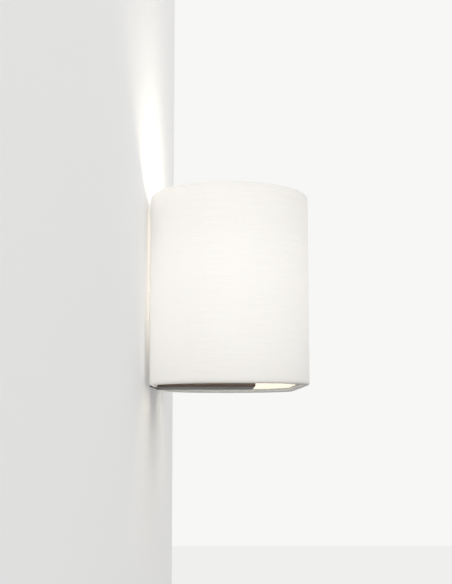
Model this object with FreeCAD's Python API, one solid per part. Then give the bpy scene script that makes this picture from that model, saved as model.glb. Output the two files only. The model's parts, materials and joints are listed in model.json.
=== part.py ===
import FreeCAD, Part
import math
import os

os.makedirs("parts", exist_ok=True)
Vector = FreeCAD.Vector

# Row frame: the wall is the plane Y = 0, the light stands out to -Y, X runs along the wall, Z is up.
# The origin is the middle of the two wall slots, on the back of the wall plate.

# shade
shadeWidth = 400.0
shadeDepth = 168.0
shadeHeight = 200.0
shadeWallGap = 3.3
rimZ = -70.0
fabricThick = 0.6
liningThick = 0.5
bondGap = 0.05
wireRadius = 1.5
hemHeight = 5.0

# tray and wall plate
sheetThick = 1.5
trayWidth = 126.0
trayReach = 116.5
trayHeight = 22.0
trayAboveRim = 0.7
bendRadius = 1.2
plateWidth = 110.0
plateHeight = 120.0
plateCornerRadius = 10.0
slotSpacing = 80.0
slotRadius = 2.5
slotLength = 14.0
tabWidth = 12.0
tabReach = 11.0
flangeWidth = 14.0
screwHoleRadius = 1.5
lidScrewShank = 1.45
lidScrewLength = 6.0
lidScrewHead = 2.9
lidScrewHeadHeight = 1.8
lidClearance = 0.3
screwInset = 6.0
notchClearance = 1.5
notchHeadroom = 7.0
liningNotchSetback = 0.5
wireNotchSetback = 1.0

# cable entry and wiring
grommetHoleRadius = 8.0
grommetFlangeRadius = 8.8
grommetBoreRadius = 5.0
grommetFlangeThick = 3.0
grommetHeight = 11.0
grommetRound = 1.0
poleSpacing = 10.0
blockDepth = 16.0
blockHeight = 14.0
blockY = -40.0
poleHeight = 7.0
clampRadius = 2.6
clampBore = 1.9
wireInsulationRadius = 0.8
wireLead = 7.0
earthWireLead = 11.0
wireSpread = 6.0
wirePairOffset = 0.9
nippleWireOffset = 1.6
neutralRise = 3.6
blockScrewRadius = 1.25
blockScrewShank = 1.2
blockScrewHead = 2.1
blockScrewHeadHeight = 1.4
blockScrewSeat = 6.0
blockScrewClearance = 0.4
blockHeadClearance = 0.1
terminalScrewRadius = 1.25
terminalScrewInset = 4.0
terminalScrewWell = 0.65
terminalScrewProud = 0.3
terminalSlotWidth = 0.5
terminalSlotDepth = 0.6
clampInset = 1.0
earthScrewY = -78.0
earthScrewShank = 1.95
earthScrewHole = 2.0
earthScrewHead = 3.8
earthScrewHeadHeight = 2.4
washerRadius = 4.5
washerThick = 0.8
eyeRadius = 3.9
eyeThick = 1.7
eyeGap = 0.1
eyeOverlap = 0.5

# cross recess of the pan screws
crossSpan = 0.7
crossWidth = 0.6
crossDepth = 0.8

# fits and cutting allowances
fitClearance = 0.05
threadClearance = 0.03
nippleClearance = 0.1
cutPast = 1.0
edgeTolerance = 0.01

# lampholders
lampSpacing = 90.0
nippleRadius = 5.0
nippleBore = 3.8
nippleTail = 1.5
collarHeight = 8.0
collarRadius = 9.0
collarFootHeight = 1.2
collarFlare = 2.8
nutAcrossFlats = 14.0
nutThick = 3.0
nutChamfer = 0.97
holderBaseRadius = 19.5
holderBaseHeight = 22.0
holderWall = 2.0
holderFootRound = 4.0
holderFloor = 2.5
bossWall = 4.0
bossHeight = 6.5
insertLedge = 2.5
insertRim = 6.0
skirtBevel = 0.6
contactWidth = 5.0
contactThick = 0.5
contactReach = 9.0
skirtRadius = 19.6
skirtTop = 56.0
shoulderRadius = 22.5
shoulderThick = 3.0
insertBottom = 8.0
insertTop = 14.0
shellRadius = 13.8
shellBore = 13.4
shellTop = 40.0
ringClearance = 0.1
shadeRingRadius = 27.0
shadeRingHeight = 10.0
ringNotches = 12
ringNotchRadius = 2.4
ringNotchOffset = 1.2
ringRound = 1.0
carrierThick = 1.5
carrierRingRadius = 31.0
carrierBore = 20.2
bridgeWidth = 10.0
strutOffset = 22.0
strutAlong = 0.5
strutAcross = 0.8
seatGap = 0.3

# lamps, measured up from the tip contact
lampSeat = 18.0
tipRadius = 4.6
tipThick = 1.5
tipRound = 0.6
tipMargin = 0.6
capRadius = 13.1
capBottom = 5.0
capTop = 25.0
capWall = 0.4
capLipWidth = 1.55
capLipThick = 0.8
capBevel = 1.0
capInnerBevel = 0.4
insulatorInset = 1.6
insulatorDrop = 0.6
insulatorRise = 1.5
housingTop = 62.0
globeRadius = 30.0
globeCentre = 75.0
globeWall = 1.2
boardThick = 1.6
boardDepth = 1.8
housingRim = 1.6
housingWall = 2.4
housingNeck = 0.3
housingHeights = [31.0, 38.0, 48.0, 56.5]
housingRadii = [14.2, 15.8, 20.6, 25.0]
housingBore = 11.0
plugDepth = 8.0
chipCircle = 16.0
chipCount = 10
chipWidth = 2.8
chipHeight = 0.8

# places that follow from the sizes above
endRadius = shadeDepth / 2
halfStraight = shadeWidth / 2 - endRadius
centreY = -(shadeWallGap + endRadius)
topZ = rimZ + shadeHeight
liningInset = fabricThick + bondGap
wireInset = liningInset + liningThick + bondGap + wireRadius
ringZ = rimZ + wireInset
upperRingZ = topZ - wireInset
trayZ = rimZ + trayAboveRim
trayTop = trayZ + trayHeight
floorZ = trayZ + sheetThick
lidZ = trayTop - sheetThick
notchHalf = trayWidth / 2 + notchClearance
notchTop = trayZ + plateHeight + notchHeadroom
holderZ = trayTop + collarHeight
carrierZ = holderZ + holderBaseHeight + shoulderThick + seatGap / 3
shadeRingZ = carrierZ + carrierThick + seatGap
lampZ = holderZ + lampSeat
lampX = {"left": -lampSpacing / 2, "right": lampSpacing / 2}
poleZ = floorZ + poleHeight
terminalScrewYs = (blockY - terminalScrewInset, blockY + terminalScrewInset)
screwX = trayWidth / 2 - sheetThick - screwInset
screwFrontY = -(trayReach - sheetThick - screwInset)
screwBackY = -(sheetThick + screwInset)


def save(name, shape):
    # each node is written as its own file
    shape.exportStep("parts/" + name + ".step")


def box(x0, x1, y0, y1, z0, z1):
    return Part.makeBox(x1 - x0, y1 - y0, z1 - z0, Vector(x0, y0, z0))


def rodZ(x, y, z0, z1, radius):
    return Part.makeCylinder(radius, z1 - z0, Vector(x, y, z0), Vector(0, 0, 1))


def rodY(x, z, y0, y1, radius):
    return Part.makeCylinder(radius, y1 - y0, Vector(x, y0, z), Vector(0, 1, 0))


def tubeZ(x, y, z0, z1, outer, inner):
    return rodZ(x, y, z0, z1, outer).cut(rodZ(x, y, z0 - 1, z1 + 1, inner))


def fused(shapes):
    return shapes[0].multiFuse(shapes[1:]).removeSplitter()


def bentRod(points, radius):
    # straight lengths of round wire with a ball at each bend
    pieces = []
    for start, end in zip(points[:-1], points[1:]):
        along = end - start
        pieces.append(Part.makeCylinder(radius, along.Length, start, along))
    for bend in points[1:-1]:
        pieces.append(Part.makeSphere(radius, bend))
    return pieces[0].multiFuse(pieces[1:]) if len(pieces) > 1 else pieces[0]


def turned(outline, x, y, z):
    # a closed outline of (radius, height) points and arcs turned about an upright axis
    face = Part.Face(Part.Wire(outline))
    return face.revolve(Vector(0, 0, 0), Vector(0, 0, 1), 360).translated(Vector(x, y, z))


def lines(points):
    # straight edges through (radius, height) points
    vectors = [Vector(r, 0, z) for r, z in points]
    return [Part.makeLine(a, b) for a, b in zip(vectors[:-1], vectors[1:])]


def curve(points):
    spline = Part.BSplineCurve()
    spline.interpolate([Vector(r, 0, z) for r, z in points])
    return spline.toShape()


def arc(start, middle, end):
    a, b, c = [Vector(r, 0, z) for r, z in (start, middle, end)]
    return Part.Arc(a, b, c).toShape()


def roundTheShade(section):
    # carries a section, drawn outward from a corner centre, round the long oval plan
    parts = []
    for side in (1, -1):
        end = section.revolve(Vector(0, 0, 0), Vector(0, 0, 1), 180)
        if side > 0:
            end.rotate(Vector(0, 0, 0), Vector(0, 0, 1), -90)
        else:
            end.rotate(Vector(0, 0, 0), Vector(0, 0, 1), 90)
        end.translate(Vector(side * halfStraight, centreY, 0))
        parts.append(end)
        wall = section.copy()
        wall.rotate(Vector(0, 0, 0), Vector(0, 0, 1), side * 90)
        wall.translate(Vector(side * halfStraight, centreY, 0))
        parts.append(wall.extrude(Vector(-side * 2 * halfStraight, 0, 0)))
    return fused(parts)


def backNotch(grow):
    # the cut-out at the back of the shade that clears the tray and the wall plate
    half = notchHalf + grow
    depth = shadeWallGap + 2 * wireInset + cutPast
    return box(-half, half, -depth, 0, rimZ - cutPast, notchTop + grow)


def makeFabric():
    # the cloth runs down the outside, rolls round each wire and ends in a short inner lip
    wireR = endRadius - wireInset
    outer = endRadius
    inner = endRadius - fabricThick
    lipOut = wireR - (inner - wireR)
    lipIn = wireR - (outer - wireR)
    lipZ = rimZ + hemHeight
    lipTopZ = topZ - hemHeight
    roll = outer - wireR
    bore = inner - wireR
    outline = [
        *lines([(outer, ringZ), (outer, upperRingZ)]),
        arc((outer, upperRingZ), (wireR, upperRingZ + roll), (lipIn, upperRingZ)),
        *lines([(lipIn, upperRingZ), (lipIn, lipTopZ), (lipOut, lipTopZ), (lipOut, upperRingZ)]),
        arc((lipOut, upperRingZ), (wireR, upperRingZ + bore), (inner, upperRingZ)),
        *lines([(inner, upperRingZ), (inner, ringZ)]),
        arc((inner, ringZ), (wireR, ringZ - bore), (lipOut, ringZ)),
        *lines([(lipOut, ringZ), (lipOut, lipZ), (lipIn, lipZ), (lipIn, ringZ)]),
        arc((lipIn, ringZ), (wireR, ringZ - roll), (outer, ringZ)),
    ]
    return roundTheShade(Part.Face(Part.Wire(outline))).cut(backNotch(0))


def makeLining():
    outer = endRadius - liningInset
    inner = outer - liningThick
    section = Part.Face(Part.Wire(lines([
        (outer, ringZ), (outer, upperRingZ), (inner, upperRingZ), (inner, ringZ), (outer, ringZ),
    ])))
    return roundTheShade(section).cut(backNotch(liningNotchSetback))


def wireSection(z):
    circle = Part.makeCircle(wireRadius, Vector(endRadius - wireInset, 0, z), Vector(0, 1, 0))
    return Part.Face(Part.Wire([circle]))


def makeTopRing():
    return roundTheShade(wireSection(upperRingZ))


def makeBottomRing():
    return roundTheShade(wireSection(ringZ)).cut(backNotch(wireNotchSetback))


def makeNotchFrame():
    # an inverted U of wire that stiffens the cut-out, standing on the bottom wire's two ends
    legX = notchHalf + wireNotchSetback + wireRadius
    wireY = -(shadeWallGap + wireInset)
    headZ = notchTop + wireNotchSetback + wireRadius
    footZ = ringZ + wireRadius
    points = [
        Vector(-legX, wireY, footZ),
        Vector(-legX, wireY, headZ),
        Vector(legX, wireY, headZ),
        Vector(legX, wireY, footZ),
    ]
    return bentRod(points, wireRadius)


def makeCarrier():
    # two flat rings on a bridge, held by four struts that drop to the bottom wire
    midZ = carrierZ + carrierThick / 2
    frontY = -(shadeWallGap + shadeDepth - wireInset)
    backY = -(shadeWallGap + wireInset)
    footZ = ringZ + wireRadius
    backX = notchHalf + strutOffset
    bridge = bridgeWidth / 2
    pieces = [box(-lampSpacing / 2, lampSpacing / 2, centreY - bridge, centreY + bridge,
                  carrierZ, carrierZ + carrierThick)]
    for x in lampX.values():
        side = math.copysign(1, x)
        pieces.append(rodZ(x, centreY, carrierZ, carrierZ + carrierThick, carrierRingRadius))
        reach = shadeRingRadius + wireRadius + seatGap
        front = [
            Vector(x, centreY - reach, midZ),
            Vector(x, frontY, midZ),
            Vector(x, frontY, footZ),
        ]
        back = [
            Vector(x + side * reach * strutAlong, centreY + reach * strutAcross, midZ),
            Vector(side * backX, backY, midZ),
            Vector(side * backX, backY, footZ),
        ]
        pieces.append(bentRod(front, wireRadius))
        pieces.append(bentRod(back, wireRadius))
    whole = fused(pieces)
    for x in lampX.values():
        whole = whole.cut(rodZ(x, centreY, carrierZ - wireRadius - cutPast,
                               carrierZ + carrierThick + wireRadius + cutPast, carrierBore))
    return whole


def makeWallPlate():
    # flat plate on the wall, with two slots, a hole for the cable and round top corners
    plate = box(-plateWidth / 2, plateWidth / 2, -sheetThick, 0, floorZ, trayZ + plateHeight)
    corners = [edge for edge in plate.Edges if topCorner(edge)]
    plate = plate.makeFillet(plateCornerRadius, corners)
    for x in (-slotSpacing / 2, slotSpacing / 2):
        plate = plate.cut(slot(x, 0))
    return plate.cut(rodY(0, trayZ + grommetHeight, -sheetThick - cutPast, cutPast, grommetHoleRadius))


def makeTray():
    # folded from one sheet: floor, front and two sides, whose rear flanges are welded to the plate
    half = trayWidth / 2
    outer = box(-half, half, -trayReach, 0, trayZ, trayTop)
    soft = [edge for edge in outer.Edges if foldedEdge(edge)]
    outer = outer.makeFillet(bendRadius, soft)
    inside = box(-half + sheetThick, half - sheetThick, -trayReach + sheetThick, cutPast,
                 floorZ, trayTop + cutPast)
    pieces = [outer.cut(inside)]
    for side in (-1, 1):
        wallX = side * (half - sheetThick)
        x0, x1 = sorted((wallX, wallX - side * flangeWidth))
        pieces.append(box(x0, x1, -2 * sheetThick, -sheetThick, floorZ, lidZ - sheetThick))
        x0, x1 = sorted((wallX, wallX - side * tabWidth))
        for y in (screwFrontY, screwBackY):
            pieces.append(box(x0, x1, y - tabReach / 2, y + tabReach / 2, lidZ - sheetThick, lidZ))
    tray = fused(pieces)
    for x in (-screwX, screwX):
        for y in (screwFrontY, screwBackY):
            tray = tray.cut(rodZ(x, y, lidZ - sheetThick - cutPast, lidZ + cutPast, screwHoleRadius))
    for x in (-poleSpacing / 2, poleSpacing / 2):
        tray = tray.cut(rodZ(x, blockY, trayZ - cutPast, floorZ + cutPast, blockScrewRadius))
    return tray.cut(rodZ(0, earthScrewY, trayZ - cutPast, floorZ + cutPast, earthScrewHole))


def foldedEdge(edge):
    # the bends of the sheet: the floor's three free sides and the two front corners
    low = edge.BoundBox
    atFront = low.YMax < -trayReach + edgeTolerance
    atFloor = low.ZMax < trayZ + edgeTolerance
    atSide = abs(low.XMax - low.XMin) < edgeTolerance
    upright = low.ZMax - low.ZMin > trayHeight - edgeTolerance
    return (atFront and upright) or (atFloor and (atFront or atSide))


def topCorner(edge):
    low = edge.BoundBox
    return low.ZMin > trayZ + plateHeight - edgeTolerance and low.XMax - low.XMin < edgeTolerance


def slot(x, z):
    reach = slotLength / 2 - slotRadius
    ends = [rodY(x + end, z, -sheetThick - cutPast, cutPast, slotRadius) for end in (-reach, reach)]
    middle = box(x - reach, x + reach, -sheetThick - cutPast, cutPast, z - slotRadius, z + slotRadius)
    return fused([middle] + ends)


def makeLid():
    halfX = trayWidth / 2 - sheetThick - lidClearance
    plate = box(-halfX, halfX, -(trayReach - sheetThick - lidClearance), -sheetThick - lidClearance,
                lidZ, trayTop)
    for x in lampX.values():
        plate = plate.cut(rodZ(x, centreY, lidZ - cutPast, trayTop + cutPast, nippleRadius + nippleClearance))
    for x in (-screwX, screwX):
        for y in (screwFrontY, screwBackY):
            plate = plate.cut(rodZ(x, y, lidZ - cutPast, trayTop + cutPast, screwHoleRadius))
    return plate


def panScrew(x, y, z, shank, length, head, headHeight):
    # a screw with a rounded head whose seat is at height z
    body = rodZ(x, y, z - length, z, shank)
    cap = rodZ(x, y, z, z + headHeight, head)
    rim = [edge for edge in cap.Edges if edge.BoundBox.ZMin > z + headHeight - edgeTolerance]
    cap = cap.makeFillet(headHeight * 0.5, rim)
    span = head * crossSpan
    half = crossWidth / 2
    foot = z + headHeight - crossDepth
    top = z + headHeight + cutPast
    drive = box(x - span, x + span, y - half, y + half, foot, top)
    cross = box(x - half, x + half, y - span, y + span, foot, top)
    return fused([body, cap]).cut(drive).cut(cross)


def makeLidScrews():
    screws = []
    for x in (-screwX, screwX):
        for y in (screwFrontY, screwBackY):
            screws.append(panScrew(x, y, trayTop, lidScrewShank, lidScrewLength, lidScrewHead,
                                   lidScrewHeadHeight))
    return Part.makeCompound(screws)


def makeGrommet():
    z = trayZ + grommetHeight
    sleeve = rodY(0, z, -sheetThick, 0, grommetHoleRadius - fitClearance)
    flange = rodY(0, z, -sheetThick - grommetFlangeThick, -sheetThick, grommetFlangeRadius)
    front = -sheetThick - grommetFlangeThick
    rim = [edge for edge in flange.Edges if edge.BoundBox.YMax < front + edgeTolerance]
    flange = flange.makeFillet(grommetRound, rim)
    return fused([sleeve, flange]).cut(rodY(0, z, front - cutPast, cutPast, grommetBoreRadius))


def makeTerminalBlock():
    half = 3 * poleSpacing / 2
    top = floorZ + blockHeight + cutPast
    body = box(-half, half, blockY - blockDepth / 2, blockY + blockDepth / 2, floorZ, floorZ + blockHeight)
    for pole in (-1, 0, 1):
        x = pole * poleSpacing
        body = body.cut(rodY(x, poleZ, blockY - blockDepth, blockY + blockDepth, clampRadius + fitClearance))
        for y in terminalScrewYs:
            body = body.cut(rodZ(x, y, poleZ, top, terminalScrewRadius + terminalScrewWell))
    for x in (-poleSpacing / 2, poleSpacing / 2):
        body = body.cut(rodZ(x, blockY, floorZ - cutPast, top, blockScrewShank + blockScrewClearance))
        body = body.cut(rodZ(x, blockY, floorZ + blockScrewSeat, top, blockScrewHead + blockHeadClearance))
    return body


def makeTerminalClamps():
    tubes = []
    for pole in (-1, 0, 1):
        x = pole * poleSpacing
        y0 = blockY - blockDepth / 2 + clampInset
        y1 = blockY + blockDepth / 2 - clampInset
        tube = rodY(x, poleZ, y0, y1, clampRadius)
        tube = tube.cut(rodY(x, poleZ, y0 - cutPast, y1 + cutPast, clampBore))
        for y in terminalScrewYs:
            tube = tube.cut(rodZ(x, y, poleZ, poleZ + 2 * clampRadius, terminalScrewRadius + fitClearance))
        tubes.append(tube)
    return Part.makeCompound(tubes)


def makeTerminalScrews():
    screws = []
    for pole in (-1, 0, 1):
        for y in terminalScrewYs:
            x = pole * poleSpacing
            top = poleZ + 2 * clampRadius + terminalScrewProud
            stem = rodZ(x, y, poleZ + wireInsulationRadius + 4 * fitClearance, top, terminalScrewRadius)
            wide = terminalScrewRadius + cutPast
            half = terminalSlotWidth / 2
            drive = box(x - wide, x + wide, y - half, y + half, top - terminalSlotDepth, top + cutPast)
            screws.append(stem.cut(drive))
    return Part.makeCompound(screws)


def makeBlockScrews():
    screws = []
    for x in (-poleSpacing / 2, poleSpacing / 2):
        screws.append(panScrew(x, blockY, floorZ + blockScrewSeat, blockScrewShank,
                               blockScrewSeat + sheetThick, blockScrewHead, blockScrewHeadHeight))
    return Part.makeCompound(screws)


def makeEarthScrew():
    seat = washerThick + eyeGap + eyeThick + 2 * eyeGap
    screw = panScrew(0, earthScrewY, floorZ + seat, earthScrewShank, seat + sheetThick,
                     earthScrewHead, earthScrewHeadHeight)
    washer = tubeZ(0, earthScrewY, floorZ, floorZ + washerThick, washerRadius, earthScrewHole)
    return Part.makeCompound([screw, washer])


def makeEarthWire():
    # from the middle pole to an eye round the earth screw
    eyeZ = floorZ + washerThick + eyeGap
    eye = tubeZ(0, earthScrewY, eyeZ, eyeZ + eyeThick, eyeRadius, earthScrewHole + fitClearance)
    endY = earthScrewY + eyeRadius - eyeOverlap
    points = [
        Vector(0, blockY - terminalScrewInset, poleZ),
        Vector(0, blockY - terminalScrewInset - earthWireLead, poleZ),
        Vector(0, endY + blockDepth / 2, eyeZ + eyeThick / 2),
        Vector(0, endY, eyeZ + eyeThick / 2),
    ]
    return fused([bentRod(points, wireInsulationRadius), eye])


def lampWire(pole, side, runZ, offset):
    # from a pole of the block, along the tray, up through the hollow nipple to the insert
    x = pole * poleSpacing + side * wirePairOffset
    upX = side * lampSpacing / 2 + offset
    leadY = blockY - terminalScrewInset - wireLead
    turnY = leadY - wireSpread / 2 - wireSpread * (pole * side < 0)
    points = [
        Vector(x, blockY - terminalScrewInset, poleZ),
        Vector(x, leadY, poleZ),
        Vector(x, turnY, runZ),
        Vector(upX, centreY, runZ),
        Vector(upX, centreY, holderZ + insertBottom),
    ]
    return bentRod(points, wireInsulationRadius)


def makeLiveWires():
    return Part.makeCompound([lampWire(-1, side, poleZ, -nippleWireOffset) for side in (-1, 1)])


def makeNeutralWires():
    runZ = poleZ + neutralRise
    return Part.makeCompound([lampWire(1, side, runZ, nippleWireOffset) for side in (-1, 1)])


def makeNipple(x):
    return tubeZ(x, centreY, lidZ - nutThick - nippleTail, holderZ + bossHeight, nippleRadius, nippleBore)


def makeLockNut(x):
    corner = nutAcrossFlats / math.sqrt(3)
    flats = 6
    points = []
    for step in range(flats + 1):
        turn = 2 * math.pi * step / flats
        points.append(Vector(x + corner * math.cos(turn), centreY + corner * math.sin(turn), lidZ - nutThick))
    hexagon = Part.Face(Part.makePolygon(points)).extrude(Vector(0, 0, nutThick))
    dome = rodZ(x, centreY, lidZ - nutThick, lidZ, corner * nutChamfer)
    thread = rodZ(x, centreY, lidZ - nutThick - cutPast, lidZ + cutPast, nippleRadius + threadClearance)
    return hexagon.common(dome).cut(thread)


def makeCollar(x):
    # spacer under the holder, flared out to a thin foot on the lid
    inner = nippleRadius + nippleClearance
    foot = collarRadius + collarFlare
    top = collarFootHeight + collarFlare
    middle = collarFlare * (1 - math.sqrt(0.5))
    outline = [
        *lines([(inner, 0), (foot, 0), (foot, collarFootHeight)]),
        arc((foot, collarFootHeight), (collarRadius + middle, collarFootHeight + middle),
            (collarRadius, top)),
        *lines([(collarRadius, top), (collarRadius, collarHeight), (inner, collarHeight), (inner, 0)]),
    ]
    return turned(outline, x, centreY, trayTop)


def makeHolderBase(x):
    # a cup with a rounded foot and an inner ledge for the insert
    bore = nippleRadius + threadClearance
    inside = holderBaseRadius - holderWall
    soft = holderFootRound
    foot = holderBaseRadius - soft
    corner = soft * (1 - math.sqrt(0.5))
    outline = [
        *lines([(bore, 0), (foot, 0)]),
        arc((foot, 0), (holderBaseRadius - corner, corner), (holderBaseRadius, soft)),
        *lines([
            (holderBaseRadius, soft), (holderBaseRadius, holderBaseHeight), (inside, holderBaseHeight),
            (inside, insertBottom), (inside - insertLedge, insertBottom), (inside - insertLedge, holderFloor),
            (bore + bossWall, holderFloor), (bore + bossWall, bossHeight), (bore, bossHeight), (bore, 0),
        ]),
    ]
    return turned(outline, x, centreY, holderZ)


def makeSkirt(x):
    inner = skirtRadius - holderWall
    base = holderBaseHeight
    outline = lines([
        (inner, base), (shoulderRadius, base), (shoulderRadius, base + shoulderThick),
        (skirtRadius, base + shoulderThick), (skirtRadius, skirtTop - skirtBevel),
        (skirtRadius - skirtBevel, skirtTop),
        (inner, skirtTop), (inner, base),
    ])
    return turned(outline, x, centreY, holderZ)


def makeInsert(x):
    # moulded disc with a raised rim that holds the brass shell
    outer = holderBaseRadius - holderWall - fitClearance
    rimIn = shellRadius + fitClearance
    outline = lines([
        (0, insertBottom), (outer, insertBottom), (outer, insertTop + insertRim),
        (rimIn, insertTop + insertRim), (rimIn, insertTop), (0, insertTop), (0, insertBottom),
    ])
    return turned(outline, x, centreY, holderZ)


def makeShell(x):
    return tubeZ(x, centreY, holderZ + insertTop, holderZ + shellTop, shellRadius, shellBore)


def makeCentreContact(x):
    # sprung strip: a flat foot on the insert, a rising leg and a flat end under the lamp's tip
    foot = holderZ + insertTop
    tip = holderZ + lampSeat
    thick = contactThick
    fixed = contactReach / 2
    rise = fixed / 2
    profile = [
        (-contactReach, foot), (-fixed, foot), (-rise, tip - thick), (fixed, tip - thick), (fixed, tip),
        (-rise - thick / 2, tip), (-fixed - thick / 2, foot + thick), (-contactReach, foot + thick),
        (-contactReach, foot),
    ]
    half = contactWidth / 2
    face = Part.Face(Part.makePolygon([Vector(x + px, centreY - half, pz) for px, pz in profile]))
    return face.extrude(Vector(0, contactWidth, 0))


def makeShadeRing(x):
    # flat nut with finger notches that clamps the carrier on the shoulder
    ring = tubeZ(x, centreY, shadeRingZ, shadeRingZ + shadeRingHeight, shadeRingRadius,
                 skirtRadius + ringClearance)
    rims = [edge for edge in ring.Edges if outerRim(edge)]
    ring = ring.makeFillet(ringRound, rims)
    for step in range(ringNotches):
        turn = math.radians(360 / ringNotches * step)
        nx = x + (shadeRingRadius + ringNotchOffset) * math.cos(turn)
        ny = centreY + (shadeRingRadius + ringNotchOffset) * math.sin(turn)
        ring = ring.cut(rodZ(nx, ny, shadeRingZ - cutPast, shadeRingZ + shadeRingHeight + cutPast,
                             ringNotchRadius))
    return ring


def outerRim(edge):
    low = edge.BoundBox
    return low.ZMax - low.ZMin < edgeTolerance and low.XMax - low.XMin > 2 * shadeRingRadius - fitClearance


def makeLampTip(x):
    disc = rodZ(x, centreY, lampZ, lampZ + tipThick, tipRadius)
    rim = [edge for edge in disc.Edges if edge.BoundBox.ZMax < lampZ + edgeTolerance]
    return disc.makeFillet(tipRound, rim)


def makeLampInsulator(x):
    wide = capRadius - insulatorInset
    top = capBottom + insulatorRise
    outline = lines([
        (0, tipThick), (tipRadius + tipMargin, tipThick), (wide, capBottom - insulatorDrop),
        (wide, top), (0, top), (0, tipThick),
    ])
    return turned(outline, x, centreY, lampZ)


def makeLampCap(x):
    # thin metal shell with a turned-in bottom lip
    lip = capRadius - capLipWidth
    inner = capRadius - capWall
    lipTop = capBottom + capLipThick
    outline = lines([
        (lip, capBottom), (inner, capBottom), (capRadius, capBottom + capBevel), (capRadius, capTop),
        (inner, capTop), (inner, lipTop + capInnerBevel), (inner - capInnerBevel, lipTop),
        (lip, lipTop), (lip, capBottom),
    ])
    return turned(outline, x, centreY, lampZ)


def globeEdgeRadius():
    return math.sqrt(globeRadius ** 2 - (globeCentre - housingTop) ** 2)


def makeLampHousing(x):
    # the plug inside the cap, then a flared cup up to the globe
    plug = capRadius - capWall - fitClearance
    edge = globeEdgeRadius()
    neck = capRadius + housingNeck
    seat = capTop + fitClearance
    outer = list(zip(housingRadii, housingHeights))
    outside = curve([(neck, capTop + housingNeck), *outer, (edge, housingTop)])
    ledge = housingTop - boardDepth
    bore = edge - housingRim
    lip = bore - housingWall
    inner = [(radius - housingWall, height) for radius, height in reversed(outer[1:])]
    inside = curve([(lip, ledge), *inner, (housingBore, housingHeights[0])])
    foot = capBottom + plugDepth
    outline = [
        *lines([(plug, foot), (plug, seat), (neck, seat), (neck, capTop + housingNeck)]),
        outside,
        *lines([(edge, housingTop), (bore, housingTop), (bore, ledge), (lip, ledge)]),
        inside,
        *lines([(housingBore, housingHeights[0]), (housingBore, foot), (plug, foot)]),
    ]
    return turned(outline, x, centreY, lampZ)


def makeLampBoard(x):
    # round board with its ring of light chips, resting on the ledge of the housing
    foot = lampZ + housingTop - boardDepth
    top = housingTop - boardDepth + boardThick
    board = rodZ(x, centreY, foot, foot + boardThick, globeEdgeRadius() - housingRim - bondGap)
    chips = []
    half = chipWidth / 2
    for step in range(chipCount):
        turn = math.radians(360 / chipCount * step)
        cx = x + chipCircle * math.cos(turn)
        cy = centreY + chipCircle * math.sin(turn)
        chips.append(box(cx - half, cx + half, cy - half, cy + half, lampZ + top, lampZ + top + chipHeight))
    return fused([board] + chips)


def makeLampGlobe(x):
    # hollow opal ball, open where it sits on the housing
    middle = Vector(x, centreY, lampZ + globeCentre)
    ball = Part.makeSphere(globeRadius, middle).cut(Part.makeSphere(globeRadius - globeWall, middle))
    below = rodZ(x, centreY, lampZ, lampZ + housingTop, globeRadius + cutPast)
    return ball.cut(below)


save("shade_fabric", makeFabric())
save("shade_lining", makeLining())
save("shade_top_wire", makeTopRing())
save("shade_bottom_wire", makeBottomRing())
save("shade_notch_frame", makeNotchFrame())
save("shade_carrier", makeCarrier())
save("wall_bracket", makeWallPlate())
save("tray", makeTray())
save("tray_lid", makeLid())
save("lid_screws", makeLidScrews())
save("cable_grommet", makeGrommet())
save("terminal_block", makeTerminalBlock())
save("terminal_clamps", makeTerminalClamps())
save("terminal_screws", makeTerminalScrews())
save("terminal_block_screws", makeBlockScrews())
save("earth_screw", makeEarthScrew())
save("earth_wire", makeEarthWire())
save("live_wires", makeLiveWires())
save("neutral_wires", makeNeutralWires())
for side, x in lampX.items():
    save("holder_nipple_" + side, makeNipple(x))
    save("holder_lock_nut_" + side, makeLockNut(x))
    save("holder_collar_" + side, makeCollar(x))
    save("holder_base_" + side, makeHolderBase(x))
    save("holder_skirt_" + side, makeSkirt(x))
    save("holder_insert_" + side, makeInsert(x))
    save("holder_shell_" + side, makeShell(x))
    save("holder_contact_" + side, makeCentreContact(x))
    save("shade_ring_" + side, makeShadeRing(x))
    save("lamp_tip_" + side, makeLampTip(x))
    save("lamp_insulator_" + side, makeLampInsulator(x))
    save("lamp_cap_" + side, makeLampCap(x))
    save("lamp_housing_" + side, makeLampHousing(x))
    save("lamp_board_" + side, makeLampBoard(x))
    save("lamp_globe_" + side, makeLampGlobe(x))
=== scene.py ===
import json
import math
import bpy
import bmesh
from mathutils import Matrix, Vector


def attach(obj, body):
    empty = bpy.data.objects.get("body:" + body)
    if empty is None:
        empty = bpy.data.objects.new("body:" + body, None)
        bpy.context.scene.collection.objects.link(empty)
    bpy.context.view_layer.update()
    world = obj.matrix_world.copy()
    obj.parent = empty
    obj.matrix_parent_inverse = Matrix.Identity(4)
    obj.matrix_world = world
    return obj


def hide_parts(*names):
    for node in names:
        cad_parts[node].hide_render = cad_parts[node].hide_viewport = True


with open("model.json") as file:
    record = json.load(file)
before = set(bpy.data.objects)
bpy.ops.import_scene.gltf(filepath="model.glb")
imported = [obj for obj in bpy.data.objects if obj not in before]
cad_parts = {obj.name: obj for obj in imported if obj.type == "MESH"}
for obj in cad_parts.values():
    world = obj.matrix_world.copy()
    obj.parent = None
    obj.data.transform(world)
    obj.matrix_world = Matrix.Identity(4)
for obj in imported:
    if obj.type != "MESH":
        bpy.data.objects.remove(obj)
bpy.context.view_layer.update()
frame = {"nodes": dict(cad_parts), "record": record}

# sizes are in metres, as the frame has them
shade = {
    "width": 0.400,
    "depth": 0.168,
    "height": 0.200,
    "wallGap": 0.0033,
    "rimZ": -0.070,
    "clothThick": 0.0006,
    "rollRadius": 0.0027,      # cloth turned round the edge wire
    "hemHeight": 0.005,        # how far the turned-in lip stands up inside
    "lipFrom": 1.6,            # in roll radii: cloth further inwards than this is the lip
    "rollSteps": 10,
    "endSteps": 72,
    "joinWithin": 1e-6,
}
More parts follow.
